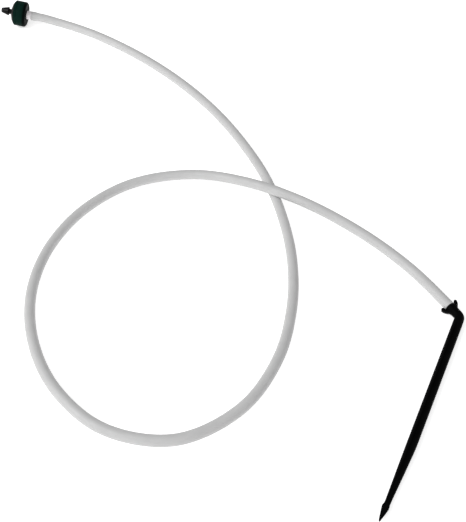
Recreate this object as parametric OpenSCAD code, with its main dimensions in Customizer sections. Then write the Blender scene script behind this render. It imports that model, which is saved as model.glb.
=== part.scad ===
// Drip dripper assembly: a pressure compensating button dripper, a free length of micro-tube and an angled
// arrow stake. Millimetres, +Z up. The assembly lies on the plane z = 0.

/* [Micro-tube] */
// Outer diameter of the micro-tube
tube_od = 5; // [4.6:0.1:5.2]
// Length of tube that is pushed over the dripper's nipple
nipple_grip = 8; // [7:0.5:10]
// Length of tube that is pushed over the stake's spigot
spigot_grip = 10; // [9.5:0.5:12]
// Radial gap between the tube's bore and the piece inside it
running_gap = 0.04; // [0.02:0.01:0.08]

/* [Dripper housing] */
// Outer diameter of the cover's rim
rim_d = 15.2; // [15:0.1:16.5]
// Width of the cover's rim along the axis
rim_w = 6.4; // [5.5:0.1:6.5]
// Chamfer round the outlet face
face_chamfer = 0.8; // [0.4:0.1:1.2]
// Length of the base's domed shoulder
shoulder_len = 2.1; // [2:0.1:3]
// Diameter of the shoulder at its small end
shoulder_small_d = 7.2; // [6.8:0.1:8.5]
// Outer diameter of the outlet nipple
nipple_d = 3.3; // [3.1:0.1:3.5]
// Water bore of the outlet nipple
nipple_bore = 1.2; // [0.8:0.1:1.6]

/* [Dripper inlet] */
// Diameter of the neck that sits in the pipe wall
neck_d = 3.2; // [3:0.1:3.6]
// Length of the neck
neck_len = 1.9; // [1.8:0.1:2.4]
// Largest diameter of the barb
barb_d = 5.2; // [4.8:0.1:5.6]
// Diameter of the barb's tip
barb_tip_d = 2.6; // [2.4:0.1:3]
// Length of the barb's cone
barb_len = 4.7; // [4.4:0.1:5.6]
// Water bore of the inlet
inlet_bore = 1.5; // [1:0.1:1.7]

/* [Diaphragm] */
// Diameter of the silicone disc
disc_d = 11; // [10.6:0.1:11.2]
// Thickness of the silicone disc
disc_t = 1.2; // [1:0.1:1.2]

/* [Arrow stake] */
// Diameter of the spigot inside the tube
spigot_d = 3.3; // [3.1:0.1:3.5]
// Length of the spigot
spigot_len = 9; // [8:0.5:9]
// Distance from the tube's end to the elbow's corner
neck_reach = 6.9; // [6.5:0.1:7.5]
// Roll of the flange's two ears about the spigot
flange_roll = 12; // [0:1:14]
// Angle that the elbow turns through
elbow_turn = 56.3; // [50:0.1:60]
// Radius of the elbow's centre line
elbow_r = 3.2; // [2.8:0.1:3.4]
// Diameter of the elbow
elbow_d = 4.4; // [4.2:0.1:4.8]
// Length of the shaft from the elbow's corner to its point
shaft_len = 107; // [105:1:112]
// Thickness of the shaft
shaft_t = 4; // [3.8:0.1:4.4]

/* [Hidden] */
$fn = 64;
eps = 0.01;

// Where the two hard pieces lie: the middle of the outlet face, and the middle of the stake's flange.
// The dripper stands on its rim and leans towards its outlet, where the tube goes down to the surface.
dripper_pitch = 10;
dripper_heading = -5;
dripper_at = [-108.4, 162.3, rim_d / 2 * cos(dripper_pitch) - face_chamfer * sin(dripper_pitch)];
stake_at = [119.5, -70.1, tube_od / 2];
stake_heading = -59.2;
// The stake rolls a little about its spigot, so that its shaft rests on the surface
stake_roll = 0.4;

// The free tube's route: x, y and the lift above its resting height
route = [
  [-87.5, 159.5, 0.7], [-70, 151, 0], [-50, 137, 0], [-28, 118, 0], [-4.5, 92.5, 0], [12.5, 69, 0],
  [27, 43, 0], [38.5, 16, 0], [46, -12.5, 0], [49.5, -41.5, 0], [48, -71, 0],
  [40.5, -99.5, 0], [24.5, -124, 0], [-1, -138, 0], [-30, -133.5, 0], [-52, -115, 0],
  [-66, -89, 0], [-71, -60, 0], [-66, -31, 0], [-51.5, -5.5, 0], [-28.5, 12.5, 0],
  [0, 17, 1.3], [28, 7.5, 4.9], [54, -5.5, 4.9], [79.5, -21, 1.3], [100.5, -41.5, 0]
];
tube_sides = 10;
rings_per_span = 3;

// Housing stations along the dripper's axis, counted back from the outlet face
z_rim = -face_chamfer - rim_w;
z_shoulder = z_rim - shoulder_len;
z_neck = z_shoulder - neck_len;
z_tip = z_neck - barb_len;
rim_r = rim_d / 2;
plug_r = rim_r - 1.3;
plug_len = 1.6;
plug_gap = 0.05;
z_plate = z_rim + plug_len;
chamber_r = disc_d / 2 + 0.25;
seat_h = 0.25;
seat_gap = 0.05;
disc_travel = 0.5;
z_disc = z_plate + seat_h + seat_gap;
z_outlet_seat = z_disc + disc_t + disc_travel + seat_gap;
outlet_seat_h = 0.8;
z_roof = z_outlet_seat + outlet_seat_h;

// Labyrinth groove in the base's plate
laby_in_r = 3.2;
laby_out_r = 5;
laby_depth = 0.6;
laby_teeth = 24;
laby_tooth_t = 0.35;
laby_reach = 1.2;

// Outlet nipple with one small barb
nipple_r = nipple_d / 2;
nipple_len = 6;
nipple_barb_r = nipple_r + 0.3;
nipple_barb_z = 4.2;
nipple_barb_len = 1;
nipple_tip_r = nipple_r - 0.25;

// Flange of the stake: a crescent whose two ears curl round the tube's end
ear_in_r = 2.9;
ear_out_r = 4.35;
ear_mid_r = (ear_in_r + ear_out_r) / 2;
ear_centre_x = -1.3;
ear_angle = 78;
ear_cut = 3 * ear_out_r * [cos(ear_angle), sin(ear_angle)];
ear_t = 2.2;
collar_r = 2.2;
collar_len = ear_centre_x + ear_out_r - 0.3;

// Shaft of the stake, in its own frame: u runs along it and v across it
elbow_tangent = elbow_r * tan(elbow_turn / 2);
shaft_start = elbow_tangent - 0.6;
taper_start = 72;
arrow_start = shaft_len - 8.5;
shaft_outline = [
  [shaft_start, -2.2], [taper_start, -2.1], [arrow_start, -1.9], [arrow_start + 2, -2.35],
  [shaft_len - 0.6, -1.55], [shaft_len, -1.15], [shaft_len - 0.6, -0.75], [arrow_start + 3, 0.6],
  [arrow_start + 0.8, 0.4], [taper_start, 2.1], [shaft_start, 2.2]
];
tip_t = 1.6;
groove_w = 1.5;
groove_depth = 0.7;
groove_end = taper_start + 15;

// Smooth curve through the route, as cubic spans with tangents from the neighbours
function unit(v) = v / norm(v);
function heading(a, pitch = 0) = [cos(a) * cos(pitch), sin(a) * cos(pitch), -sin(pitch)];
dripper_dir = heading(dripper_heading, dripper_pitch);
stake_dir = heading(stake_heading);
run_start = dripper_at + nipple_grip * dripper_dir;
run_end = stake_at - spigot_grip * stake_dir;
rest_z = tube_od / 2;
knots = concat([run_start], [for (p = route) [p.x, p.y, rest_z + p.z]], [run_end]);
last_knot = len(knots) - 1;
function span(i) = norm(knots[i + 1] - knots[i]);
function slope(i) = unit(knots[i + 1] - knots[i]);
function tangent(i) =
  i == 0 ? dripper_dir
  : i == last_knot ? stake_dir
  : (slope(i - 1) * span(i) + slope(i) * span(i - 1)) / (span(i) + span(i - 1));
function curve_point(i, u) =
  (2 * u^3 - 3 * u^2 + 1) * knots[i] + (u^3 - 2 * u^2 + u) * span(i) * tangent(i)
  + (3 * u^2 - 2 * u^3) * knots[i + 1] + (u^3 - u^2) * span(i) * tangent(i + 1);
function on_surface(p) = [p.x, p.y, max(p.z, rest_z)];
centres = concat(
  [for (i = [0 : last_knot - 1]) for (k = [0 : rings_per_span - 1]) on_surface(curve_point(i, k / rings_per_span))],
  [run_end]
);
last_ring = len(centres) - 1;
function ring_dir(i) =
  i == 0 ? dripper_dir : i == last_ring ? stake_dir : unit(centres[i + 1] - centres[i - 1]);
function ring(i) =
  let (side = unit(cross(ring_dir(i), [0, 0, 1])), up = cross(side, ring_dir(i)))
  [for (k = [0 : tube_sides - 1])
    let (a = 360 * k / tube_sides) centres[i] + rest_z * (cos(a) * side + sin(a) * up)];

module at_dripper() {
  translate(dripper_at) rotate([0, 0, dripper_heading]) rotate([0, 90 + dripper_pitch, 0]) children();
}

module at_stake() {
  translate(stake_at) rotate([0, 0, stake_heading]) rotate([stake_roll, 0, 0]) children();
}

// Inlet barb and neck, moulded in one with the base
module inlet_barb() {
  color([0.07, 0.07, 0.075]) at_dripper() difference() {
    rotate_extrude() polygon([
      [0, z_tip], [barb_tip_d / 2 - 0.3, z_tip], [barb_tip_d / 2, z_tip + 0.3], [barb_d / 2, z_neck - 0.5],
      [barb_d / 2, z_neck - 0.2], [neck_d / 2, z_neck], [neck_d / 2, z_shoulder], [0, z_shoulder]
    ]);
    translate([0, 0, z_tip - 1]) cylinder(d = inlet_bore, h = barb_len + neck_len + 2);
  }
}

// Base of the housing: domed shoulder, plug and labyrinth plate
module inlet_base() {
  small_r = shoulder_small_d / 2;
  dome = [for (a = [0 : 15 : 90])
    [small_r + (rim_r - 0.6 - small_r) * sin(a), z_rim - plug_gap - (shoulder_len - plug_gap) * cos(a)]];
  color([0.07, 0.07, 0.075]) at_dripper() difference() {
    union() {
      rotate_extrude() polygon(concat(
        [[0, z_shoulder]], dome,
        [[plug_r - plug_gap, z_rim - plug_gap], [plug_r - plug_gap, z_plate], [0, z_plate]]
      ));
      translate([0, 0, z_plate - eps]) difference() {
        cylinder(r = inlet_bore / 2 + 1.2, h = seat_h + eps);
        translate([0, 0, -1]) cylinder(r = inlet_bore / 2 + 0.6, h = seat_h + 2);
      }
    }
    translate([0, 0, z_shoulder - 1]) cylinder(d = inlet_bore, h = z_plate - z_shoulder + 2);
    labyrinth();
  }
}

// Zigzag channel: a ring groove less the teeth that reach in from its two walls by turns
module labyrinth() {
  tooth_mid = [laby_out_r - laby_reach / 2, laby_in_r + laby_reach / 2];
  difference() {
    translate([0, 0, z_plate - laby_depth]) difference() {
      cylinder(r = laby_out_r, h = 1);
      translate([0, 0, -1]) cylinder(r = laby_in_r, h = 3);
    }
    for (i = [0 : laby_teeth - 1]) rotate([0, 0, 360 * i / laby_teeth])
      translate([tooth_mid[i % 2], 0, z_plate - laby_depth / 2])
        cube([laby_reach + 0.4, laby_tooth_t, laby_depth + 2], center = true);
  }
}

// Silicone disc that closes on the outlet seat as the pressure rises
module diaphragm() {
  color([0.86, 0.80, 0.70]) at_dripper() translate([0, 0, z_disc]) cylinder(d = disc_d, h = disc_t);
}

// Cover of the housing: rim, chamber, outlet seat and nipple
module outlet_cover() {
  color([0.07, 0.19, 0.15]) at_dripper() difference() {
    rotate_extrude() polygon([
      [0, z_outlet_seat], [0, nipple_len], [nipple_tip_r, nipple_len],
      [nipple_barb_r, nipple_barb_z + nipple_barb_len * 0.3], [nipple_barb_r, nipple_barb_z],
      [nipple_r, nipple_barb_z], [nipple_r, 0], [rim_r - face_chamfer, 0], [rim_r, -face_chamfer],
      [rim_r, z_rim], [plug_r, z_rim], [plug_r, z_plate], [chamber_r, z_plate], [chamber_r, z_roof],
      [nipple_bore / 2 + 0.8, z_roof], [nipple_bore / 2 + 0.8, z_outlet_seat]
    ]);
    translate([0, 0, z_outlet_seat - 1]) cylinder(d = nipple_bore, h = nipple_len - z_outlet_seat + 2);
  }
}

// End of the micro-tube, stretched over the dripper's nipple
module tube_dripper_end() {
  bore_r = nipple_r + running_gap;
  barb_bore_r = nipple_barb_r + running_gap;
  swell_r = tube_od / 2 + 0.25;
  color([0.79, 0.79, 0.79]) at_dripper() rotate_extrude() polygon([
    [bore_r, running_gap], [bore_r, nipple_barb_z - running_gap - 0.3],
    [barb_bore_r, nipple_barb_z - running_gap], [barb_bore_r, nipple_barb_z + nipple_barb_len * 0.3 + running_gap],
    [nipple_tip_r + running_gap, nipple_len + running_gap], [nipple_tip_r + running_gap, nipple_grip],
    [tube_od / 2, nipple_grip], [tube_od / 2, nipple_len + 0.6], [swell_r, nipple_barb_z + nipple_barb_len],
    [swell_r, nipple_barb_z - 0.6], [tube_od / 2 + 0.1, 1.5], [tube_od / 2 + 0.1, running_gap]
  ]);
}

// The tube's free length: one loop that crosses over itself in a low hump
module tube_run() {
  rings = last_ring + 1;
  color([0.79, 0.79, 0.79]) polyhedron(
    points = [for (i = [0 : last_ring]) each ring(i)],
    faces = concat(
      [[for (k = [0 : tube_sides - 1]) k]],
      [for (i = [0 : rings - 2]) for (k = [0 : tube_sides - 1])
        let (a = i * tube_sides + k, b = i * tube_sides + (k + 1) % tube_sides)
        [a, a + tube_sides, b + tube_sides, b]],
      [[for (k = [tube_sides - 1 : -1 : 0]) last_ring * tube_sides + k]]
    )
  );
}

// End of the micro-tube, pushed over the stake's spigot
module tube_stake_end() {
  color([0.79, 0.79, 0.79]) translate(stake_at) rotate([0, 0, stake_heading]) rotate([0, -90, 0])
    translate([0, 0, running_gap]) difference() {
      cylinder(d = tube_od, h = spigot_grip - running_gap);
      translate([0, 0, -1]) cylinder(r = spigot_d / 2 + running_gap, h = spigot_grip + 2);
    }
}

// Angled arrow stake: one moulding with spigot, eared flange, elbow, grooved shaft and point
module arrow_stake() {
  color([0.05, 0.05, 0.055]) at_stake() {
    stake_spigot();
    stake_flange();
    stake_elbow();
    translate([neck_reach, 0, 0]) rotate([0, 0, -elbow_turn]) stake_shaft();
  }
}

module stake_spigot() {
  lead_in = 1.2;
  notch_pitch = 1.1;
  rotate([0, -90, 0]) difference() {
    union() {
      translate([0, 0, -collar_len]) cylinder(r = collar_r, h = collar_len);
      cylinder(d = spigot_d, h = spigot_len - lead_in);
      translate([0, 0, spigot_len - lead_in]) cylinder(d1 = spigot_d, d2 = spigot_d - 0.8, h = lead_in);
    }
    for (i = [0 : 4]) translate([(i % 2 == 0 ? 1 : -1) * spigot_d / 2, 0, 2.4 + i * notch_pitch])
      cube([0.9, spigot_d, 0.6], center = true);
  }
}

module stake_flange() {
  rotate([flange_roll, 0, 0]) translate([ear_centre_x, 0, -ear_t / 2]) linear_extrude(ear_t) {
    difference() {
      circle(r = ear_out_r);
      circle(r = ear_in_r);
      polygon([[0, 0], ear_cut, [-2 * ear_out_r, ear_cut.y], [-2 * ear_out_r, -ear_cut.y], [ear_cut.x, -ear_cut.y]]);
    }
    for (s = [1, -1]) translate(ear_mid_r * [cos(ear_angle), s * sin(ear_angle)])
      circle(r = (ear_out_r - ear_in_r) / 2);
  }
}

module stake_elbow() {
  start_x = neck_reach - elbow_tangent;
  overlap = 0.5;
  translate([collar_len - overlap, 0, 0]) rotate([0, 90, 0])
    cylinder(d = elbow_d - 0.1, h = start_x - collar_len + 2 * overlap);
  translate([start_x, -elbow_r, 0]) rotate([0, 0, 90 - elbow_turn])
    rotate_extrude(angle = elbow_turn) translate([elbow_r, 0]) circle(d = elbow_d);
}

module stake_shaft() {
  difference() {
    intersection() {
      translate([0, 0, -shaft_t]) linear_extrude(2 * shaft_t) polygon(shaft_outline);
      translate([0, shaft_t, 0]) rotate([90, 0, 0]) linear_extrude(2 * shaft_t) polygon([
        [0, -shaft_t / 2], [taper_start, -shaft_t / 2], [shaft_len, -tip_t / 2],
        [shaft_len, tip_t / 2], [taper_start, shaft_t / 2], [0, shaft_t / 2]
      ]);
    }
    for (s = [1, -1]) translate([elbow_tangent + 4, -groove_w / 2, s > 0 ? shaft_t / 2 - groove_depth : -shaft_t / 2 - 1])
      cube([groove_end - elbow_tangent - 4, groove_w, groove_depth + 1]);
  }
}

inlet_barb();
inlet_base();
diaphragm();
outlet_cover();
tube_dripper_end();
tube_run();
tube_stake_end();
arrow_stake();
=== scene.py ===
"""Looks of a drip dripper assembly: button dripper, looped micro-tube and angled arrow stake.

Lengths are in metres, but for the dripper's and the stake's own sizes, which are in millimetres. Every piece
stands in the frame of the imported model. The camera and the micro-tube come first, then the dripper's housing,
its diaphragm and the stake, each dressed in its own finish.
"""

import logging
import math
from collections.abc import Iterable, Sequence
from dataclasses import dataclass, field, replace
from enum import Enum

import bmesh
import bpy
from mathutils import Matrix, Vector


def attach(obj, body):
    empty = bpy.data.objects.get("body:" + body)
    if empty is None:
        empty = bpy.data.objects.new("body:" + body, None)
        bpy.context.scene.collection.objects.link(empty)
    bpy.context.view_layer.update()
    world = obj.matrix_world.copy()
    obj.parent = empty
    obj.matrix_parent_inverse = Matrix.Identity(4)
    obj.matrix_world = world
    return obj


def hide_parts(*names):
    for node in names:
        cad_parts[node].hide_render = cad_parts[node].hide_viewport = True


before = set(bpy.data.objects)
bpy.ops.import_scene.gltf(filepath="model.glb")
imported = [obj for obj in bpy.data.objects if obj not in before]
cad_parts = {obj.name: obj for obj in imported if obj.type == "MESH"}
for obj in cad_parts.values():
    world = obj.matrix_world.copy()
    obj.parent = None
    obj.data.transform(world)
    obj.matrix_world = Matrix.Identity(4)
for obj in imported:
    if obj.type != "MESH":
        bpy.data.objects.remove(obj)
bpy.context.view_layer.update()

log = logging.getLogger("dripper_assembly")

MM = 0.001


class Body(Enum):
    """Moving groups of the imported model."""

    TUBE = "tube"
    DRIPPER = "dripper"
    DISC = "disc"
    STAKE = "stake"


class Slot(Enum):
    """Material slots of the record."""

    HOUSING_BLACK = "housing_black"
    HOUSING_GREEN = "housing_green"
    SILICONE = "silicone"
    TUBE_GREY = "tube_grey"
    STAKE_BLACK = "stake_black"


# ------------ shader tools


class Signal:
    """A shader socket on which Python arithmetic adds Math nodes."""

    def __init__(self, graph: "Graph", socket: bpy.types.NodeSocket) -> None:
        """Wraps a node's output socket.

        Args:
            graph: the material's graph that the socket belongs to.
            socket: the output socket.
        """
        self.graph = graph
        self.socket = socket

    def _math(self, operation: str, *values: "Signal | float") -> "Signal":
        """Adds one Math node.

        Args:
            operation: the Math node's operation.
            values: its inputs in order.

        Returns:
            The node's result.
        """
        return self.graph.node("ShaderNodeMath", {"operation": operation}, dict(enumerate(values)))

    def __add__(self, other: "Signal | float") -> "Signal":
        """Sum."""
        return self._math("ADD", self, other)

    __radd__ = __add__

    def __sub__(self, other: "Signal | float") -> "Signal":
        """Difference."""
        return self._math("SUBTRACT", self, other)

    def __rsub__(self, other: float) -> "Signal":
        """Difference with the number on the left."""
        return self._math("SUBTRACT", other, self)

    def __mul__(self, other: "Signal | float") -> "Signal":
        """Product."""
        return self._math("MULTIPLY", self, other)

    __rmul__ = __mul__

    def ramp(self, low: float, high: float) -> "Signal":
        """Smooth step from 0 at low to 1 at high.

        Args:
            low: value that gives 0.
            high: value that gives 1.

        Returns:
            The stepped signal.
        """
        settings = {"interpolation_type": "SMOOTHSTEP", "clamp": True}
        sockets = {"Value": self, "From Min": low, "From Max": high}
        return self.graph.node("ShaderNodeMapRange", settings, sockets)


class Graph:
    """The node graph of one material, with its shader and output already joined."""

    # numbers of a Mix node's two colour inputs and of its colour output
    FIRST_COLOUR, SECOND_COLOUR, MIXED_COLOUR = 6, 7, 2

    def __init__(self, name: str) -> None:
        """Starts a material.

        Args:
            name: the material's name.
        """
        self.material = bpy.data.materials.new(name)
        self.material.use_nodes = True
        self.tree = self.material.node_tree
        self.tree.nodes.clear()
        self.shader = self.tree.nodes.new("ShaderNodeBsdfPrincipled")
        output = self.tree.nodes.new("ShaderNodeOutputMaterial")
        self.tree.links.new(self.shader.outputs["BSDF"], output.inputs["Surface"])

    def node(
        self,
        kind: str,
        settings: dict[str, object] | None = None,
        sockets: dict[str | int, object] | None = None,
        output: str | int = 0,
    ) -> Signal:
        """Adds any node.

        Args:
            kind: the node's type.
            settings: the node's own properties, which are set first.
            sockets: input name or number to a value or a signal.
            output: name or number of the output to return.

        Returns:
            The chosen output.
        """
        node = self.tree.nodes.new(kind)
        for key, value in (settings or {}).items():
            setattr(node, key, value)
        for key, value in (sockets or {}).items():
            self.feed(node.inputs[key], value)
        return Signal(self, node.outputs[output])

    def feed(self, socket: bpy.types.NodeSocket, value: object) -> None:
        """Links a signal to an input, or sets the input's own value.

        Args:
            socket: the input.
            value: a signal, a number or a colour.
        """
        if isinstance(value, Signal):
            self.tree.links.new(value.socket, socket)
        else:
            socket.default_value = value

    def noise(self, coords: Signal, width: float, detail: float = 2.0, roughness: float = 0.5) -> Signal:
        """Noise between 0 and 1.

        Args:
            coords: the coordinates that it follows.
            width: width of a feature, in the coordinates' unit.
            detail: octaves.
            roughness: strength of the finer octaves.

        Returns:
            The noise.
        """
        sockets = {"Vector": coords, "Scale": 1 / width, "Detail": detail, "Roughness": roughness}
        return self.node("ShaderNodeTexNoise", {"noise_dimensions": "3D"}, sockets)

    def place(self, source: str, scale: Sequence[float] = (1, 1, 1)) -> Signal:
        """Coordinates of the piece.

        Args:
            source: Object or UV.
            scale: stretch of the pattern along each axis.

        Returns:
            The coordinates.
        """
        coords = self.node("ShaderNodeTexCoord", output=source)
        sockets = {"Vector": coords, "Scale": tuple(scale)}
        return self.node("ShaderNodeMapping", {"vector_type": "POINT"}, sockets)

    def blend(
        self, factor: Signal, first: Sequence[float] | Signal, second: Sequence[float] | Signal
    ) -> Signal:
        """Mixes two colours.

        Args:
            factor: 0 gives the first, 1 the second.
            first: colour or signal.
            second: colour or signal.

        Returns:
            The mixed colour.
        """
        ends = [c if isinstance(c, Signal) else (*c, 1.0) for c in (first, second)]
        sockets = {"Factor": factor, self.FIRST_COLOUR: ends[0], self.SECOND_COLOUR: ends[1]}
        return self.node("ShaderNodeMix", {"data_type": "RGBA"}, sockets, self.MIXED_COLOUR)

    def bump(self, height: Signal, depth: float) -> Signal:
        """Surface relief.

        Args:
            height: relief from 0 to 1.
            depth: its depth in metres.

        Returns:
            The bent normal.
        """
        return self.node("ShaderNodeBump", sockets={"Height": height, "Distance": depth})

    def finish(self, **inputs: object) -> bpy.types.Material:
        """Feeds the shader's inputs.

        Args:
            inputs: shader input, with underscores for spaces, to a value or a signal.

        Returns:
            The finished material.
        """
        for key, value in inputs.items():
            self.feed(self.shader.inputs[key.replace("_", " ").title().replace("Ior", "IOR")], value)
        return self.material


# ------------ finishes


@dataclass(frozen=True)
class MouldedPlastic:
    """Injection moulded plastic: fine spark-eroded grain, soft flow marks and a little dust.

    Attributes:
        name: the material's name.
        base: colour of the bulk.
        bloom: colour where the surface has bloomed or gathered dust.
        roughness: mean roughness.
        specular: strength of the surface's mirror reflection.
        flow: width of a flow mark.
        cloud: width of a dull cloud.
        speck: width of a speck of dust.
        grain: width of a grain of the texture.
        grain_depth: depth of the texture.
        dust: how freely dust specks lie on the surface.
        end: painted shade: the darker colour given to the far end, standing in for shade there, if given.
        painted_shade_from: point on the piece from which the painted shade is full.
        painted_shade_way: unit vector towards the shaded far end.
        painted_shade_soft: length over which the painted shade fades in.
    """

    name: str
    base: tuple[float, float, float]
    bloom: tuple[float, float, float]
    roughness: float
    specular: float
    flow: float = 5 * MM
    cloud: float = 1.6 * MM
    speck: float = 0.35 * MM
    grain: float = 0.12 * MM
    grain_depth: float = 0.006 * MM
    dust: float = 0.06
    end: tuple[float, float, float] | None = None
    painted_shade_from: tuple[float, float, float] = (0.0, 0.0, 0.0)
    painted_shade_way: tuple[float, float, float] = (1.0, 0.0, 0.0)
    painted_shade_soft: float = 1.2 * MM

    def material(self) -> bpy.types.Material:
        """Builds the material.

        Returns:
            The finished material.
        """
        graph = Graph(self.name)
        coords = graph.place("Object")
        flow = graph.noise(graph.place("Object", (1, 1, 0.35)), self.flow, 3.0, 0.55)
        cloud = graph.noise(coords, self.cloud, 4.0, 0.6)
        grain = graph.noise(coords, self.grain, 2.0, 0.6)
        specks = graph.noise(coords, self.speck, 3.0, 0.75).ramp(0.70 - self.dust, 0.78)
        worn = flow.ramp(0.35, 0.75) * 0.6 + cloud.ramp(0.45, 0.8) * 0.4
        tinted = graph.blend(worn, self.base, self.bloom)
        # painted shade: the end colour darkens the piece towards its far end, standing in for shade there
        if self.end is not None:
            limit = sum(a * b for a, b in zip(self.painted_shade_from, self.painted_shade_way))
            sockets = {0: coords, 1: self.painted_shade_way}
            along = graph.node("ShaderNodeVectorMath", {"operation": "DOT_PRODUCT"}, sockets, "Value")
            edge = (cloud - 0.5) * (0.3 * MM) + along
            tinted = graph.blend(edge.ramp(limit - self.painted_shade_soft, limit), tinted, self.end)
        dusty = [min(1.0, 3 * c + 0.006) for c in self.bloom]
        colour = graph.blend(specks * 0.5, tinted, dusty)
        rough = (cloud - 0.5) * 0.16 + (grain - 0.5) * 0.08 + specks * 0.2 + self.roughness
        relief = graph.bump(grain * 0.7 + cloud * 0.3, self.grain_depth)
        return graph.finish(
            base_color=colour, roughness=rough, normal=relief, specular_ior_level=self.specular, ior=1.48
        )


@dataclass(frozen=True)
class ExtrudedTube:
    """Extruded polyethylene: die lines along the length, waxy mottling, scuffs and painted light on the wall at
    the dripper's end.

    The pattern follows the piece's UV map, whose v is in metres along the wall.

    Attributes:
        name: the material's name.
        pale: colour of the clean wall.
        shade: colour of the duller patches.
        roughness: mean roughness.
        girth: the tube's girth, which is one turn of the UV map's u.
        die_line: width of a die line.
        mottle: width of a mottled spot.
        patch: width of a duller patch.
        wax: width of a grain of the waxy skin.
        scuff: width of a scuff.
        relief_depth: depth of the surface's relief.
        painted_light: paler colour painted on the wall at the dripper's end, standing in for light where the
            dripper's shadow falls.
        painted_light_to: where the painted light ends, along the UV map's v.
        painted_light_soft: length over which the painted light fades.
    """

    name: str
    pale: tuple[float, float, float]
    shade: tuple[float, float, float]
    roughness: float
    girth: float
    die_line: float = 0.35 * MM
    mottle: float = 2.4 * MM
    patch: float = 14 * MM
    wax: float = 0.25 * MM
    scuff: float = 0.8 * MM
    relief_depth: float = 0.02 * MM
    # painted light: paler wall at the dripper's end, standing in for light where the dripper's shadow falls on
    # it
    painted_light: tuple[float, float, float] = (0.95, 0.90, 0.925)
    painted_light_to: float = 16.3 * MM
    painted_light_soft: float = 1.4 * MM

    def material(self) -> bpy.types.Material:
        """Builds the material.

        Returns:
            The finished material.
        """
        graph = Graph(self.name)
        on_wall = graph.place("UV", (self.girth, 1, 1))
        lines = graph.noise(graph.place("UV", (self.girth, 0.02, 1)), self.die_line)
        mottle = graph.noise(graph.place("UV", (self.girth, 0.45, 1)), self.mottle, 4.0, 0.62)
        patch = graph.noise(on_wall, self.patch)
        wax = graph.noise(on_wall, self.wax, 3.0, 0.7)
        scuff = graph.noise(graph.place("UV", (self.girth, 0.12, 1)), self.scuff, 3.0, 0.7).ramp(0.66, 0.78)
        tone = mottle.ramp(0.25, 0.75) * 0.5 + patch.ramp(0.3, 0.7) * 0.3 + lines * 0.2
        wall = graph.blend(tone, self.pale, self.shade)
        scuffed = [c * 0.82 for c in self.shade]
        # painted light: the wall's first few millimetres from the dripper are paler, lifting the dripper's cast
        # shadow there
        along = graph.node("ShaderNodeSeparateXYZ", sockets={0: graph.place("UV")}, output="Y")
        edge = along + (mottle - 0.5) * (1.2 * MM)
        painted_light_mask = 1 - edge.ramp(self.painted_light_to - self.painted_light_soft, self.painted_light_to)
        colour = graph.blend(painted_light_mask, graph.blend(scuff * 0.45, wall, scuffed), self.painted_light)
        rough = (mottle - 0.5) * 0.18 + (wax - 0.5) * 0.1 + scuff * 0.15 + self.roughness
        relief = graph.bump(lines * 0.5 + wax * 0.3 + mottle * 0.2, self.relief_depth)
        return graph.finish(
            base_color=colour, roughness=rough, normal=relief, specular_ior_level=0.35, ior=1.51
        )


@dataclass(frozen=True)
class SiliconeSheet:
    """Moulded silicone: milky, soft and slightly dusty.

    Attributes:
        name: the material's name.
        base: colour of the bulk.
        cloudy: colour of the milkier patches.
        milk: width of a milky patch.
        skin: width of a grain of the skin.
        skin_depth: depth of the skin's relief.
    """

    name: str
    base: tuple[float, float, float]
    cloudy: tuple[float, float, float]
    milk: float = 1.5 * MM
    skin: float = 0.1 * MM
    skin_depth: float = 0.003 * MM

    def material(self) -> bpy.types.Material:
        """Builds the material.

        Returns:
            The finished material.
        """
        graph = Graph(self.name)
        coords = graph.place("Object")
        milk = graph.noise(coords, self.milk, 3.0, 0.55)
        colour = graph.blend(milk.ramp(0.3, 0.7), self.base, self.cloudy)
        rough = (milk - 0.5) * 0.15 + 0.42
        relief = graph.bump(graph.noise(coords, self.skin), self.skin_depth)
        return graph.finish(
            base_color=colour, roughness=rough, normal=relief, specular_ior_level=0.45, ior=1.41
        )


TUBE_OD = 5 * MM

STAKE_PLASTIC = MouldedPlastic(
    "stake_plastic",
    base=(0.0010, 0.0010, 0.0011),
    bloom=(0.0024, 0.0024, 0.0025),
    roughness=0.55,
    specular=0.03,
)
BASE_PLASTIC = MouldedPlastic(
    "base_plastic",
    base=(0.0024, 0.0024, 0.0025),
    bloom=(0.0060, 0.0060, 0.0062),
    roughness=0.32,
    specular=0.12,
)
COVER_PLASTIC = MouldedPlastic(
    "cover_plastic",
    base=(0.0020, 0.0125, 0.0090),
    bloom=(0.0045, 0.0200, 0.0150),
    roughness=0.45,
    specular=0.02,
    # painted shade: near-black colour towards the outlet face, standing in for the shade on the side turned
    # away from the key light
    end=(0.0012, 0.0030, 0.0026),
)
TUBE_WALL = ExtrudedTube(
    "tube_wall", pale=(0.54, 0.54, 0.54), shade=(0.475, 0.475, 0.475), roughness=0.5, girth=math.pi * TUBE_OD
)
DISC_SILICONE = SiliconeSheet("disc_silicone", base=(0.60, 0.53, 0.43), cloudy=(0.70, 0.64, 0.55))


# ------------ mesh tools

SAME_POINT = 1e-7  # vertices nearer than this are one vertex


@dataclass(frozen=True)
class Corner:
    """A corner of an outline in a plane.

    Attributes:
        x: first coordinate, in metres.
        y: second coordinate, in metres.
        round: radius of its rounding, in metres.
    """

    x: float
    y: float
    round: float = 0.0


def millimetre_corners(*rows: tuple[float, ...]) -> list[Corner]:
    """Corners from rows of x, y and rounding in millimetres.

    Args:
        rows: x, y and an optional rounding each.

    Returns:
        The corners in metres.
    """
    return [Corner(*(value * MM for value in row)) for row in rows]


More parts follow.
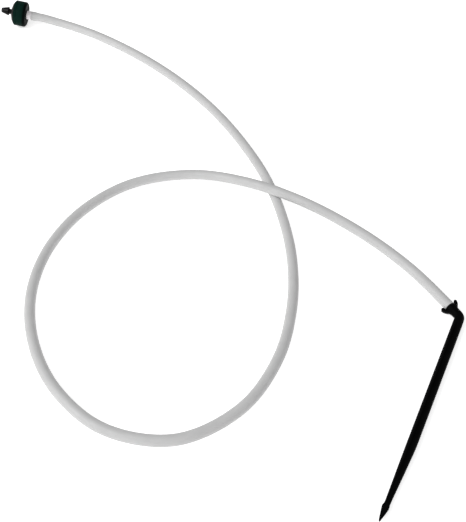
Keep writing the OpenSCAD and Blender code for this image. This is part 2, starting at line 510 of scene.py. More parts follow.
def rounded_outline(corners: Sequence[Corner], steps: int = 5) -> list[Vector]:
    """A closed outline with its corners rounded by quadratic arcs.

    Args:
        corners: the outline's corners in order.
        steps: points on a rounded corner, less one.

    Returns:
        The outline's points, in the plane z = 0.
    """
    points: list[Vector] = []
    count = len(corners)
    for i, corner in enumerate(corners):
        here = Vector((corner.x, corner.y, 0))
        if corner.round <= 0:
            points.append(here)
            continue
        ends = []
        for other in (corners[i - 1], corners[(i + 1) % count]):
            way = Vector((other.x, other.y, 0)) - here
            ends.append(here + way.normalized() * min(corner.round, 0.48 * way.length))
        for k in range(steps + 1):
            t = k / steps
            points.append(ends[0] * (1 - t) ** 2 + here * 2 * t * (1 - t) + ends[1] * t**2)
    return points


def arc(centre: Vector, radius: float, start: float, end: float, steps: int) -> list[Vector]:
    """Points on an arc in a level plane.

    Args:
        centre: the arc's centre.
        radius: its radius.
        start: its first angle from +X, in degrees.
        end: its last angle, in degrees.
        steps: spans from the first point to the last.

    Returns:
        The points, with both ends.
    """
    turns = [math.radians(start + (end - start) * k / steps) for k in range(steps + 1)]
    return [centre + radius * Vector((math.cos(a), math.sin(a), 0)) for a in turns]


def running_length(points: Sequence[Vector]) -> list[float]:
    """Distance along a line of points from the first to each of them.

    Args:
        points: the line's points in order.

    Returns:
        The distances, which start at 0.
    """
    lengths = [0.0]
    for a, b in zip(points, points[1:]):
        lengths.append(lengths[-1] + (b - a).length)
    return lengths


def add_loop(bm: bmesh.types.BMesh, points: Iterable[Vector]) -> list[bmesh.types.BMEdge]:
    """Adds a closed loop of edges.

    Args:
        bm: the mesh.
        points: the loop's corners in order.

    Returns:
        The edges.
    """
    verts = [bm.verts.new(p) for p in points]
    return [bm.edges.new((a, b)) for a, b in zip(verts, verts[1:] + verts[:1])]


def revolve(bm: bmesh.types.BMesh, corners: Sequence[Corner], steps: int = 96) -> None:
    """Turns an outline of radius and height round the Z axis.

    Args:
        bm: the mesh that gets the ring.
        corners: the outline, with radius as x and height as y.
        steps: faces round the turn.
    """
    loop = add_loop(bm, [Vector((p.x, 0, p.y)) for p in rounded_outline(corners)])
    ring = [*loop, *{v for e in loop for v in e.verts}]
    bmesh.ops.spin(
        bm,
        geom=ring,
        cent=(0, 0, 0),
        axis=(0, 0, 1),
        dvec=(0, 0, 0),
        angle=math.tau,
        steps=steps,
        use_merge=True,
    )
    bmesh.ops.remove_doubles(bm, verts=bm.verts, dist=SAME_POINT)
    bmesh.ops.recalc_face_normals(bm, faces=bm.faces)


def round_edges(
    bm: bmesh.types.BMesh, edges: Iterable[bmesh.types.BMEdge], width: float, segments: int
) -> None:
    """Rounds edges.

    Args:
        bm: the mesh.
        edges: its edges to round.
        width: width of the rounding on either side of an edge.
        segments: faces across the rounding.
    """
    bmesh.ops.bevel(
        bm,
        geom=edges,
        offset=width,
        offset_type="OFFSET",
        segments=segments,
        profile=0.5,
        affect="EDGES",
        material=-1,
    )


def loft(bm: bmesh.types.BMesh, rings: Sequence[Sequence[Vector]], capped: bool = True) -> None:
    """Skins a row of rings that have equally many points.

    Args:
        bm: the mesh that gets the skin.
        rings: the rings in order.
        capped: closes the first and the last ring.
    """
    edges = add_loop(bm, rings[0])
    first = list(edges)
    verts = [e.verts[0] for e in edges]
    for ring in rings[1:]:
        grown = bmesh.ops.extrude_edge_only(bm, edges=edges)["geom"]
        fresh = {v for v in grown if isinstance(v, bmesh.types.BMVert)}
        verts = [next(e.other_vert(v) for e in v.link_edges if e.other_vert(v) in fresh) for v in verts]
        for vert, point in zip(verts, ring):
            vert.co = point
        edges = [bm.edges.get((a, b)) for a, b in zip(verts, verts[1:] + verts[:1])]
    if capped:
        bmesh.ops.edgeloop_fill(bm, edges=first)
        bmesh.ops.edgeloop_fill(bm, edges=edges)
    bmesh.ops.recalc_face_normals(bm, faces=bm.faces)


def to_object(
    bm: bmesh.types.BMesh, name: str, material: bpy.types.Material, sharp_angle: float = 38.0
) -> bpy.types.Object:
    """Makes a finished object of a mesh, smooth but for its sharp edges.

    Args:
        bm: the mesh, which is freed.
        name: the object's name.
        material: its material.
        sharp_angle: edges that turn more than this stay sharp, in degrees.

    Returns:
        The object, at the origin.
    """
    for face in bm.faces:
        face.smooth = True
    for edge in bm.edges:
        edge.smooth = not (edge.is_manifold and edge.calc_face_angle(0) > math.radians(sharp_angle))
    mesh = bpy.data.meshes.new(name)
    bm.to_mesh(mesh)
    bm.free()
    mesh.materials.append(material)
    made = bpy.data.objects.new(name, mesh)
    bpy.context.collection.objects.link(made)
    return made


def settle(piece: bpy.types.Object, body: Body, slot: Slot, *stands_for: str) -> None:
    """Joins a piece to its body and hides the CAD nodes that it stands for.

    Args:
        piece: the piece.
        body: the body that it rides on.
        slot: its material slot; not used.
        stands_for: the nodes that it replaces.
    """
    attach(piece, body.value)
    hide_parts(*stands_for)
    log.info("%s: %d faces on %s", piece.name, len(piece.data.polygons), body.value)


# ------------ the layout


def heading(degrees: float, pitch: float = 0.0) -> Vector:
    """Unit vector at an angle from +X that dips by the pitch, both in degrees."""
    turn, dip = math.radians(degrees), math.radians(pitch)
    return Vector((math.cos(turn) * math.cos(dip), math.sin(turn) * math.cos(dip), -math.sin(dip)))


@dataclass(frozen=True)
class Layout:
    """Where the two hard pieces lie, and the micro-tube's route between them.

    Attributes:
        outlet_face: middle of the dripper's outlet face.
        dripper_heading: way that the outlet points, in degrees from +X.
        dripper_pitch: dip of the outlet below the level, in degrees.
        flange: middle of the stake's flange, where the tube ends.
        stake_heading: way that the tube runs into the flange, in degrees from +X.
        stake_roll: roll of the stake about its spigot, in degrees.
        nipple_grip: length of tube on the nipple.
        spigot_grip: length of tube on the spigot.
    """

    outlet_face: Vector = field(default_factory=lambda: Vector((-108.4, 162.3, 7.3456)) * MM)
    dripper_heading: float = -5.0
    dripper_pitch: float = 10.0
    flange: Vector = field(default_factory=lambda: Vector((119.5, -70.1, 2.5)) * MM)
    stake_heading: float = -59.2
    stake_roll: float = 0.4
    nipple_grip: float = 8 * MM
    spigot_grip: float = 10 * MM

    def dripper_matrix(self) -> Matrix:
        """Places the dripper, whose own Z axis points out of the outlet."""
        turn = Matrix.Rotation(math.radians(self.dripper_heading), 4, "Z")
        tilt = Matrix.Rotation(math.radians(90 + self.dripper_pitch), 4, "Y")
        return Matrix.Translation(self.outlet_face) @ turn @ tilt

    def outlet_way(self) -> Vector:
        """Way that the outlet points."""
        return heading(self.dripper_heading, self.dripper_pitch)

    def stake_matrix(self) -> Matrix:
        """Places the stake, whose own X axis points out of the tube."""
        turn = Matrix.Rotation(math.radians(self.stake_heading), 4, "Z")
        return Matrix.Translation(self.flange) @ turn @ Matrix.Rotation(math.radians(self.stake_roll), 4, "X")

    def route(self) -> list[Vector]:
        """The route's points: x, y and the lift above the resting height."""
        rows = (
            (-87.5, 159.5, 0.7), (-70, 151, 0), (-50, 137, 0), (-28, 118, 0), (-4.5, 92.5, 0), (12.5, 69, 0),
            (27, 43, 0), (38.5, 16, 0), (46, -12.5, 0), (49.5, -41.5, 0), (48, -71, 0),
            (40.5, -99.5, 0), (24.5, -124, 0), (-1, -138, 0), (-30, -133.5, 0), (-52, -115, 0),
            (-66, -89, 0), (-71, -60, 0), (-66, -31, 0), (-51.5, -5.5, 0), (-28.5, 12.5, 0),
            (0, 17, 1.3), (28, 7.5, 4.9), (54, -5.5, 4.9), (79.5, -21, 1.3), (100.5, -41.5, 0),
        )
        resting = TUBE_OD / 2 / MM
        return [Vector((x, y, resting + lift)) * MM for x, y, lift in rows]


# ------------ micro-tube


@dataclass
class MicroTube:
    """The free length of tube: one loop that crosses over itself in a low hump.

    Attributes:
        layout: where its ends and its route lie.
        sides: faces round the wall.
        rings_per_span: rings between two points of the route.
        end_rings: rings along a pushed-on end.
        bore_depth: depth of the open bore at each end.
        end_gap: gap between the tube's end and the piece that it is pushed up to.
    """

    layout: Layout
    sides: int = 32
    rings_per_span: int = 14
    end_rings: int = 12
    bore_depth: float = 12 * MM
    end_gap: float = 0.05 * MM

    def centreline(self) -> list[Vector]:
        """Points of the whole centreline.

        Returns:
            The points from the outlet face to the flange.
        """
        out_dir = self.layout.outlet_way()
        in_dir = heading(self.layout.stake_heading)
        start = self.layout.outlet_face + out_dir * self.layout.nipple_grip
        end = self.layout.flange - in_dir * self.layout.spigot_grip
        knots = [start, *self.layout.route(), end]
        spans = [(b - a).length for a, b in zip(knots, knots[1:])]
        slopes = [(b - a).normalized() for a, b in zip(knots, knots[1:])]
        tangents = [out_dir]
        for before, after, way_in, way_out in zip(spans, spans[1:], slopes, slopes[1:]):
            tangents.append((way_in * after + way_out * before) / (after + before))
        tangents.append(in_dir)
        points = [self.layout.outlet_face.lerp(start, k / self.end_rings) for k in range(self.end_rings)]
        for i, span in enumerate(spans):
            for k in range(self.rings_per_span):
                u = k / self.rings_per_span
                point = (2 * u**3 - 3 * u**2 + 1) * knots[i] + (u**3 - 2 * u**2 + u) * span * tangents[i]
                point += (3 * u**2 - 2 * u**3) * knots[i + 1] + (u**3 - u**2) * span * tangents[i + 1]
                point.z = max(point.z, TUBE_OD / 2)
                points.append(point)
        points += [end.lerp(self.layout.flange, k / self.end_rings) for k in range(self.end_rings + 1)]
        return points

    def outer_radius(self, from_dripper: float) -> float:
        """Radius of the wall, which swells over the nipple.

        Args:
            from_dripper: distance along the tube from the outlet face.

        Returns:
            The radius in metres.
        """
        rest = TUBE_OD / 2
        swells = ((0, 0.10), (1.6, 0.12), (3.4, 0.22), (4.6, 0.26), (5.6, 0.18), (7.4, 0.0))
        here = from_dripper / MM
        for (a, low), (b, high) in zip(swells, swells[1:]):
            if a <= here <= b:
                t = (here - a) / (b - a)
                return rest + (low + (high - low) * t * t * (3 - 2 * t)) * MM
        return rest

    def stations(self, lengths: Sequence[float]) -> list[tuple[float, float]]:
        """Rings of the skin, from deep in the dripper's end, round the wall, to deep in the stake's end.

        Args:
            lengths: distance along the centreline of each of its points.

        Returns:
            Distance along the centreline and radius of each ring, in metres.
        """
        total = lengths[-1]
        clear = 0.4 * MM
        gap, deep = self.end_gap / MM, self.bore_depth / MM
        near_bore = (
            (deep, 1.5), (6.9, 1.5), (6.1, 1.5), (4.5, 2.0), (4.15, 2.0), (3.8, 1.7), (0.25, 1.7), (gap, 1.9),
        )
        far_bore = ((gap, 1.9), (0.25, 1.7), (8.6, 1.7), (9.2, 1.5), (deep, 1.5))
        lip = ((gap, -0.14), (gap + 0.04, -0.05), (gap + 0.13, 0.0))
        rows = [(s * MM, r * MM) for s, r in near_bore]
        rows += [(s * MM, self.outer_radius(s * MM) + dr * MM) for s, dr in lip]
        rows += [(s, self.outer_radius(s)) for s in lengths if clear < s < total - clear]
        rows += [(total - s * MM, TUBE_OD / 2 + dr * MM) for s, dr in reversed(lip)]
        rows += [(total - s * MM, r * MM) for s, r in far_bore]
        return rows

    def build(self) -> None:
        path = self.centreline()
        lengths = running_length(path)
        rows = self.stations(lengths)
        rings = [self.ring(path, lengths, s, r) for s, r in rows]
        bm = bmesh.new()
        loft(bm, rings)
        self.unwrap(bm, rows)
        tube = to_object(bm, "micro_tube", TUBE_WALL.material(), 50.0)
        settle(tube, Body.TUBE, Slot.TUBE_GREY, "tube_dripper_end", "tube_run", "tube_stake_end")
        log.info("micro-tube length %.3f m", lengths[-1])

    def ring(
        self, path: Sequence[Vector], lengths: Sequence[float], at: float, radius: float
    ) -> list[Vector]:
        """One ring of the skin, square to the centreline.

        Args:
            path: the centreline.
            lengths: distance along it of each point.
            at: the ring's distance along it.
            radius: the ring's radius.

        Returns:
            The ring's points.
        """
        reached = at + SAME_POINT / 100
        i = max(k for k in range(len(lengths) - 1) if lengths[k] <= reached)
        share = (at - lengths[i]) / (lengths[i + 1] - lengths[i])
        middle = path[i].lerp(path[i + 1], share)
        here = (path[i + 1] - path[i]).normalized()
        before = (path[i] - path[i - 1]).normalized() if i else here
        after = (path[i + 2] - path[i + 1]).normalized() if i + 2 < len(path) else here
        way = (before + here).normalized().lerp((here + after).normalized(), share).normalized()
        side = way.cross(Vector((0, 0, 1))).normalized()
        up = side.cross(way)
        turns = [math.tau * k / self.sides for k in range(self.sides)]
        return [middle + radius * (math.cos(a) * side + math.sin(a) * up) for a in turns]

    def unwrap(self, bm: bmesh.types.BMesh, rows: Sequence[tuple[float, float]]) -> None:
        """Lays out the UV map: u once round the wall, v in metres along the skin.

        Args:
            bm: the tube's mesh, whose vertices run ring by ring.
            rows: distance and radius of each ring.
        """
        along = [0.0]
        for (s0, r0), (s1, r1) in zip(rows, rows[1:]):
            along.append(along[-1] + math.hypot(s1 - s0, r1 - r0))
        layer = bm.loops.layers.uv.new("UVMap")
        bm.verts.index_update()
        for face in bm.faces:
            places = [divmod(loop.vert.index, self.sides) for loop in face.loops]
            wraps = {side for _, side in places} >= {0, self.sides - 1} and len(places) == 4
            for loop, (ring, side) in zip(face.loops, places):
                turn = 1.0 if wraps and side == 0 else side / self.sides
                loop[layer].uv = (turn, along[ring])


# ------------ dripper


@dataclass
class ButtonDripper:
    """The dripper: black base with the inlet barb, dark green cover with the nipple, silicone disc between.

    Sizes are in millimetres. Stations count back along the axis from the outlet face.

    Attributes:
        layout: where it lies.
        rim_r: radius of the cover's rim.
        rim_w: width of the rim.
        chamfer: chamfer round the outlet face.
        shoulder: length of the base's domed shoulder.
        neck: length of the neck.
        neck_r: radius of the neck.
        barb: length of the barb.
        barb_r: radius of the barb at its widest.
        tip_r: radius of the barb's tip.
        inlet_r: radius of the inlet's water bore.
        plug: depth that the base's plug reaches into the cover.
        disc_r: radius of the silicone disc.
        disc_t: thickness of the silicone disc.
        seat_ring: height of the ring that the disc rests on.
        lift: gap between the resting disc and the outlet seat.
        nipple: length of the outlet nipple.
        nipple_r: radius of the nipple.
        nipple_barb_r: radius of the nipple's barb.
        nipple_tip_r: radius of the nipple's tip and of the outlet seat.
        outlet_r: radius of the outlet's water bore.
        painted_shade_inset: depth behind the outlet face down to which the cover's painted shade is full.
    """

    layout: Layout
    rim_r: float = 7.6
    rim_w: float = 6.4
    chamfer: float = 0.8
    shoulder: float = 2.1
    neck: float = 1.9
    neck_r: float = 1.6
    barb: float = 4.7
    barb_r: float = 2.6
    tip_r: float = 1.3
    inlet_r: float = 0.75
    plug: float = 1.6
    disc_r: float = 5.5
    disc_t: float = 1.2
    seat_ring: float = 0.3
    lift: float = 0.55
    nipple: float = 6.0
    nipple_r: float = 1.65
    nipple_barb_r: float = 1.95
    nipple_tip_r: float = 1.4
    outlet_r: float = 0.6
    painted_shade_inset: float = 1.02

    def __post_init__(self) -> None:
        """Works out the stations along the axis."""
        self.rim_z = -self.chamfer - self.rim_w
        self.neck_z = self.rim_z - self.shoulder
        self.barb_z = self.neck_z - self.neck
        self.tip_z = self.barb_z - self.barb
        self.plate_z = self.rim_z + self.plug
        self.disc_z = self.plate_z + self.seat_ring

    def turn(
        self,
        name: str,
        rows: Sequence[Corner],
        finish: MouldedPlastic | SiliconeSheet,
        steps: int = 96,
        merge: float = SAME_POINT,
    ) -> bpy.types.Object:
        """Turns a piece on the dripper's axis and puts it in its place.

        Args:
            name: the piece's name.
            rows: its outline, with radius and station along the axis, in metres.
            finish: its finish.
            steps: faces round the turn.
            merge: vertices nearer than this become one.

        Returns:
            The piece.
        """
        bm = bmesh.new()
        revolve(bm, rows, steps)
        bmesh.ops.remove_doubles(bm, verts=bm.verts, dist=merge)
        bmesh.ops.transform(bm, matrix=self.layout.dripper_matrix(), verts=bm.verts)
        return to_object(bm, name, finish.material())

    def build_base(self) -> None:
        """Base: barb, neck, domed shoulder, plug, with the water bore through it."""
        rise, r = self.shoulder, self.rim_r
        rows = millimetre_corners(
            (self.inlet_r, self.tip_z, 0.15),
            (self.tip_r, self.tip_z, 0.3),
            (self.tip_r + 0.2, self.tip_z + 0.35, 0.2),
            (self.barb_r, self.barb_z - 0.45, 0.25),
            (self.barb_r, self.barb_z - 0.12, 0.12),
            (self.neck_r + 0.2, self.barb_z, 0.3),
            (self.neck_r, self.barb_z + 0.35, 0.3),
            (self.neck_r, self.neck_z - 0.05, 0.35),
            (3.4, self.neck_z - 0.05, 0.3),
            (3.75, self.neck_z + 0.16 * rise, 0.25),
            (0.7 * r, self.neck_z + 0.26 * rise, 0.9),
            (r - 1.1, self.neck_z + 0.64 * rise, 0.9),
            (r - 0.6, self.rim_z - 0.35, 0.3),
            (r - 0.6, self.rim_z - 0.05, 0.1),
            (r - 1.35, self.rim_z - 0.05),
            (r - 1.35, self.plate_z, 0.15),
            (self.inlet_r, self.plate_z, 0.15),
        )
        base = self.turn("dripper_base", rows, BASE_PLASTIC)
        settle(base, Body.DRIPPER, Slot.HOUSING_BLACK, "inlet_barb", "inlet_base")

    def build_cover(self) -> None:
        """Cover: rim with its parting groove, outlet face, nipple and the chamber inside, with painted shade
        darkening its outlet end.
        """
        r = self.rim_r
        seat = self.disc_z + self.disc_t + self.lift
        chamber = self.disc_r + 0.25
        rows = millimetre_corners(
            (self.outlet_r, self.nipple, 0.1),
            (self.nipple_tip_r, self.nipple, 0.15),
            (self.nipple_barb_r, self.nipple - 1.5, 0.12),
            (self.nipple_barb_r, self.nipple - 1.8, 0.05),
            (self.nipple_r, self.nipple - 1.8, 0.1),
            (self.nipple_r, 0.0, 0.2),
            (3.2, 0.0, 0.15),
            (3.5, -0.15, 0.1),
            (5.5, -0.15, 0.1),
            (5.8, 0.0, 0.15),
            (r - self.chamfer, 0.0, 0.35),
            (r, -self.chamfer, 0.35),
            (r, self.rim_z + 2.0, 0.12),
            (r - 0.2, self.rim_z + 1.88, 0.1),
            (r - 0.2, self.rim_z + 1.6, 0.1),
            (r, self.rim_z + 1.48, 0.12),
            (r, self.rim_z, 0.3),
            (r - 1.3, self.rim_z, 0.1),
            (r - 1.3, self.plate_z, 0.05),
            (chamber, self.plate_z, 0.05),
            (chamber, seat + 0.8, 0.3),
            (self.nipple_tip_r, seat + 0.8, 0.1),
            (self.nipple_tip_r, seat, 0.1),
            (self.outlet_r, seat, 0.1),
        )
        # painted shade: the cover darkens to near black over its outlet end, standing in for shade on the face
        # turned from the key light
        way = self.layout.outlet_way()
        painted_shade_full_point = self.layout.outlet_face - way * self.painted_shade_inset * MM
        finish = replace(COVER_PLASTIC, painted_shade_from=tuple(painted_shade_full_point), painted_shade_way=tuple(way))
        cover = self.turn("dripper_cover", rows, finish)
        settle(cover, Body.DRIPPER, Slot.HOUSING_GREEN, "outlet_cover")

    def build_disc(self) -> None:
        """Silicone disc with its soft edge and a shallow moulded ring."""
        low, high = self.disc_z, self.disc_z + self.disc_t
        pinhole = 0.001
        rows = millimetre_corners(
            (pinhole, low),
            (2.0, low, 0.2),
            (2.3, low + 0.15, 0.1),
            (2.9, low + 0.15, 0.1),
            (3.2, low, 0.2),
            (self.disc_r, low, 0.35),
            (self.disc_r, high, 0.35),
            (pinhole, high),
        )
        disc = self.turn("silicone_disc", rows, DISC_SILICONE, steps=72, merge=10 * pinhole * MM)
        settle(disc, Body.DISC, Slot.SILICONE, "diaphragm")


# ------------ stake


@dataclass
class ArrowStake:
    """The stake: spigot, eared flange, elbow, grooved shaft and arrow point in one moulding.

    Sizes are in millimetres, in the stake's own axes: X out of the tube, Y across, Z up.

    Attributes:
        layout: where it lies.
        reach: distance from the tube's end to the elbow's corner.
        turn: angle of the elbow in degrees.
        bend_r: radius of the elbow's centre line.
        neck_r: radius of the elbow.
        length: from the elbow's corner to the point.
        elbow_steps: rings round the elbow.
        half_t: half the shaft's thickness.
        groove: depth of the grooves in the shaft's flat faces.
        taper_at: distance from the corner at which the shaft starts to narrow.
        arrow: length of the arrow point.
        flange_x: middle of the flange's crescent, along the spigot.
        flange_inner: radius of the crescent's inside.
        flange_outer: radius of the crescent's outside.
        flange_half_t: half the crescent's thickness.
        flange_edge: rounding of the crescent's edges.
        ear_angle: angle from the middle of the crescent to each ear's tip, in degrees.
        flange_roll: roll of the flange's two ears about the spigot, in degrees.
        spigot_r: radius of the spigot's end and of its collar.
        spigot_length: length of the spigot.
        core_r: radius of the spigot between its end and its collar.
        baffles: baffles of the labyrinth on the spigot.
        baffle_step: distance from one baffle to the next.
    """

    layout: Layout
    reach: float = 6.9
    turn: float = 56.3
    bend_r: float = 3.2
    neck_r: float = 2.2
    length: float = 107.0
    elbow_steps: int = 14
    half_t: float = 2.0
    groove: float = 0.7
    taper_at: float = 72.0
    arrow: float = 8.5
    flange_x: float = -1.3
    flange_inner: float = 2.9
    flange_outer: float = 4.35
    flange_half_t: float = 1.1
    flange_edge: float = 0.38
    ear_angle: float = 78.0
    flange_roll: float = 12.0
    spigot_r: float = 1.62
    spigot_length: float = 9.0
    core_r: float = 1.3
    baffles: int = 5
    baffle_step: float = 1.1

    def elbow_tangent(self) -> float:
        """Distance from the elbow's corner to either end of its bend."""
        return self.bend_r * math.tan(math.radians(self.turn / 2))

    def outline(self, low: float, high: float, half: float, groove: float) -> list[Vector]:
        """Cross-section of the shaft: a rounded bar with a groove in each flat face.

        Args:
            low: its edge on the -Y side.
            high: its edge on the +Y side.
            half: half its thickness.
            groove: depth of the grooves.

        Returns:
            Points in the plane x = 0, always equally many.
        """
        middle, width = (low + high) / 2, high - low
        corner = min(0.42 * width, 0.75 * half)
        slot = min(0.75, 0.2 * width)
        quarter: list[tuple[float, float]] = []
        for k in range(9):
            a = math.radians(90 * k / 8)
            quarter.append((width / 2 - corner * (1 - math.cos(a)), half - corner * (1 - math.sin(a))))
        quarter.append((slot + 0.16, half))
        quarter.append((slot + 0.04, half - 0.1 * groove))
        quarter.append((slot - 0.22 * groove, half - 0.9 * groove))
        quarter.append((slot - 0.22 * groove - 0.1, half - groove))
        upper = quarter + [(-y, z) for y, z in reversed(quarter)]
        ring = upper + [(-y, -z) for y, z in upper]
        return [Vector((0, middle + y, z)) for y, z in ring]

    def round_section(self, radius: float) -> list[Vector]:
        """Round cross-section whose points stand at the angles of the shaft's points."""
        shaft = self.outline(-self.neck_r, self.neck_r, self.half_t, self.groove)
        return [Vector((0, *(Vector((p.y, p.z)).normalized() * radius))) for p in shaft]

    def shaft_sections(self) -> list[tuple[float, list[Vector]]]:
        """Cross-sections of the shaft, each with its distance from the elbow's corner.

        Returns:
            The sections in order, from the elbow to the point, in millimetres.
        """
        start, taper, end = self.elbow_tangent(), self.taper_at, self.length
        arrow = end - self.arrow
        r, half_t, deep = self.neck_r, self.half_t, self.groove
        rows = (
            (start + 0.6, -r, r, 2.08, 0.0),
            (start + 3.0, -r, r, half_t, 0.0),
            (start + 4.2, -r, r, half_t, deep),
            (taper * 0.5, -2.15, 2.16, half_t, deep),
            (taper - 4, -2.1, 2.11, half_t, deep),
            (taper, -2.1, 2.06, 1.98, deep),
            (taper + 4, -2.07, 1.85, 1.85, 0.65),
            (taper + 14, -2.0, 1.24, 1.55, 0.5),
            (taper + 15.5, -1.97, 1.14, 1.5, 0.0),
            (arrow - 3, -1.92, 0.6, 1.22, 0.0),
            (arrow, -1.9, 0.44, 1.15, 0.0),
            (arrow + 0.7, -2.0, 0.42, 1.12, 0.0),
            (arrow + 1.9, -2.36, 0.55, 1.1, 0.0),
            (arrow + 2.6, -2.3, 0.56, 1.05, 0.0),
            (arrow + 5.0, -1.98, -0.02, 0.9, 0.0),
            (end - 1.2, -1.68, -0.66, 0.62, 0.0),
            (end - 0.4, -1.5, -0.82, 0.45, 0.0),
            (end - 0.05, -1.32, -0.98, 0.2, 0.0),
        )
        round_start = self.round_section(r)
        round_to_flat = 2.8
        sections = []
        for at, low, high, half, groove in rows:
            ring = self.outline(low, high, half, groove)
            share = min(1.0, (at - start) / round_to_flat)
            sections.append((at, [a.lerp(b, share) for a, b in zip(round_start, ring)]))
        return sections

    def stem_rings(self) -> list[list[Vector]]:
        """Rings of the stem, from inside the flange, along the neck, round the elbow and down the shaft.

        Returns:
            The rings, in millimetres.
        """
        bend_x = self.reach - self.elbow_tangent()
        ring = self.round_section(self.neck_r)
        rings = []
        for x, swell in ((1.6, 0.35), (2.3, 0.3), (2.9, 0.1), (3.6, 0.0), (bend_x, 0.0)):
            rings.append([Vector((x, *(p.yz * (1 + swell / self.neck_r)))) for p in ring])
        centre = Vector((bend_x, -self.bend_r, 0))
        turn = -math.radians(self.turn)
        for k in range(1, self.elbow_steps + 1):
            spin = Matrix.Rotation(turn * k / self.elbow_steps, 4, "Z")
            rings.append([centre + spin @ (Vector((bend_x, p.y, p.z)) - centre) for p in ring])
        corner = Matrix.Translation((self.reach, 0, 0)) @ Matrix.Rotation(turn, 4, "Z")
        for at, section in self.shaft_sections():
            rings.append([corner @ Vector((at, p.y, p.z)) for p in section])
        return rings

    def add_flange(self, bm: bmesh.types.BMesh) -> None:
        """Adds the crescent plate whose two ears curl round the tube's end.

        Args:
            bm: the stake's mesh, in millimetres.
        """
        inner, outer, sweep = self.flange_inner, self.flange_outer, self.ear_angle
        mid, tip_r = (inner + outer) / 2, (outer - inner) / 2
        middle = Vector((self.flange_x, 0, -self.flange_half_t))
        points = [
            *arc(middle, outer, -sweep, sweep, 40),
            *arc(middle + mid * heading(sweep), tip_r, sweep, sweep + 180, 8)[1:-1],
            *arc(middle, inner, sweep, -sweep, 40),
            *arc(middle + mid * heading(-sweep), tip_r, 180 - sweep, 360 - sweep, 8)[1:-1],
        ]
        plate = bmesh.new()
        edges = add_loop(plate, points)
        face = bmesh.ops.edgeloop_fill(plate, edges=edges)["faces"]
        grown = bmesh.ops.extrude_face_region(plate, geom=face)["geom"]
        lifted = [v for v in grown if isinstance(v, bmesh.types.BMVert)]
        bmesh.ops.translate(plate, verts=lifted, vec=(0, 0, 2 * self.flange_half_t))
        rims = [e for e in plate.edges if abs(e.verts[0].co.z - e.verts[1].co.z) < 1e-6]
        round_edges(plate, rims, self.flange_edge, 4)
        bmesh.ops.recalc_face_normals(plate, faces=plate.faces)
        roll = Matrix.Rotation(math.radians(self.flange_roll), 4, "X")
        bmesh.ops.transform(plate, matrix=roll, verts=plate.verts)
        self.merge_into(bm, plate)

    def add_spigot(self, bm: bmesh.types.BMesh) -> None:
        """Adds the collar and the spigot with its labyrinth baffles.

        Args:
            bm: the stake's mesh, in millimetres.
        """
        r, core_r, tip = self.spigot_r, self.core_r, -self.spigot_length
        rows = (
            (0.35, tip, 0.1), (1.2, tip, 0.25), (r, tip + 1.1, 0.3), (r, tip + 1.5, 0.1),
            (core_r, tip + 1.7, 0.1), (core_r, -2.0, 0.1), (r, -1.8, 0.1), (r, 0.0, 0.15),
            (2.3, 0.0, 0.2), (2.35, 1.9, 0.2), (0.35, 1.9),
        )
        core = bmesh.new()
        revolve(core, [Corner(*row) for row in rows], 48)
        along_x = Matrix(((0, 0, 1, 0), (1, 0, 0, 0), (0, 1, 0, 0), (0, 0, 0, 1)))
        bmesh.ops.transform(core, matrix=along_x, verts=core.verts)
        self.merge_into(bm, core)
        for k in range(self.baffles):
            side = 1 if k % 2 else -1
            baffle = bmesh.new()
            place = Matrix.Translation((-2.6 - self.baffle_step * k, 0, side * 0.7))
            bmesh.ops.create_cube(baffle, size=1.0, matrix=place @ Matrix.Diagonal((0.45, 1.9, 1.7, 1)))
            round_edges(baffle, baffle.edges, 0.08, 2)
            self.merge_into(bm, baffle)

    @staticmethod
    def merge_into(bm: bmesh.types.BMesh, part: bmesh.types.BMesh) -> None:
        """Copies a part's mesh into another mesh and frees it.

        Args:
            bm: the mesh that receives it.
            part: the part.
        """
        carrier = bpy.data.meshes.new("carrier")
        part.to_mesh(carrier)
        part.free()
        bm.from_mesh(carrier)
        bpy.data.meshes.remove(carrier)

    def build(self) -> None:
        """Builds the stake."""
        bm = bmesh.new()
        loft(bm, self.stem_rings())
        self.add_flange(bm)
        self.add_spigot(bm)
        bmesh.ops.scale(bm, vec=(MM, MM, MM), verts=bm.verts)
        bmesh.ops.transform(bm, matrix=self.layout.stake_matrix(), verts=bm.verts)
        stake = to_object(bm, "arrow_stake_moulding", STAKE_PLASTIC.material())
        settle(stake, Body.STAKE, Slot.STAKE_BLACK, "arrow_stake")


# ------------ studio


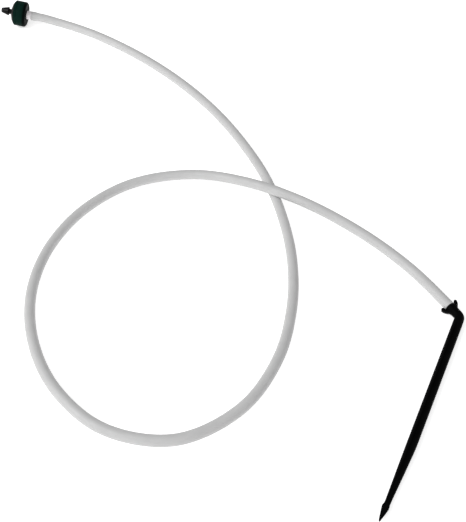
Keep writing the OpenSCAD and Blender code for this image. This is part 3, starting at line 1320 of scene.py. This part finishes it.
@dataclass
class Studio:
    """Camera, pale floor and soft lights.

    Attributes:
        target: point on the floor at the middle of the view.
        elevation: the camera's height above the horizon, in degrees.
        distance: from the target to the camera.
        lens_mm: focal length on the default sensor, in millimetres.
        floor_half: half the floor's side.
        surroundings: strength of the even light from all round.
    """

    target: Vector = field(default_factory=lambda: Vector((21.5, -40, 0)) * MM)
    elevation: float = 48.0
    distance: float = 406 * MM
    lens_mm: float = 58.6
    floor_half: float = 6.0
    surroundings: float = 0.45

    def add_camera(self) -> None:
        """Adds the camera and makes it the scene's."""
        tilt = math.radians(self.elevation)
        back = Vector((0, -math.cos(tilt), math.sin(tilt)))
        data = bpy.data.cameras.new("camera")
        data.lens = self.lens_mm
        data.clip_start, data.clip_end = 0.01, 20
        camera = bpy.data.objects.new("camera", data)
        camera.location = self.target + back * self.distance
        camera.rotation_mode = "QUATERNION"
        camera.rotation_quaternion = (-back).to_track_quat("-Z", "Y")
        bpy.context.collection.objects.link(camera)
        bpy.context.scene.camera = camera

    def add_floor(self) -> None:
        """Adds the pale floor."""
        bm = bmesh.new()
        bmesh.ops.create_grid(bm, x_segments=2, y_segments=2, size=self.floor_half)
        graph = Graph("pale_floor")
        pale = (0.92, 0.92, 0.92, 1)
        material = graph.finish(
            base_color=pale, roughness=0.9, specular_ior_level=0.0, emission_color=pale, emission_strength=0.6
        )
        to_object(bm, "floor", material)

    def add_light(self, name: str, place: tuple[float, float, float], size: float, power: float) -> None:
        """Adds one square area light that looks at the target.

        Args:
            name: the light's name.
            place: its place from the target, in metres.
            size: its side in metres.
            power: its power in watts.
        """
        data = bpy.data.lights.new(name, "AREA")
        data.size, data.energy = size, power
        light = bpy.data.objects.new(name, data)
        light.location = self.target + Vector(place)
        light.rotation_mode = "QUATERNION"
        light.rotation_quaternion = (-Vector(place)).to_track_quat("-Z", "Y")
        bpy.context.collection.objects.link(light)

    def add_lights(self) -> None:
        """Adds the soft lights and the even surroundings."""
        self.add_light("key", place=(-1.0, -0.3, 1.0), size=0.9, power=14.0)
        self.add_light("fill", place=(0.4, -0.9, 1.0), size=1.2, power=3.0)
        world = bpy.data.worlds.new("surroundings")
        world.use_nodes = True
        background = world.node_tree.nodes["Background"]
        background.inputs["Color"].default_value = (1, 1, 1, 1)
        background.inputs["Strength"].default_value = self.surroundings
        scene = bpy.context.scene
        scene.world = world
        scene.view_settings.view_transform = "Standard"


def main() -> None:
    """Builds the studio and every piece."""
    logging.basicConfig(level=logging.INFO, format="%(name)s: %(message)s")
    layout = Layout()
    studio = Studio()
    studio.add_camera()
    MicroTube(layout).build()
    dripper = ButtonDripper(layout)
    dripper.build_base()
    dripper.build_cover()
    dripper.build_disc()
    ArrowStake(layout).build()
    studio.add_floor()
    studio.add_lights()


if __name__ == "__main__":
    main()
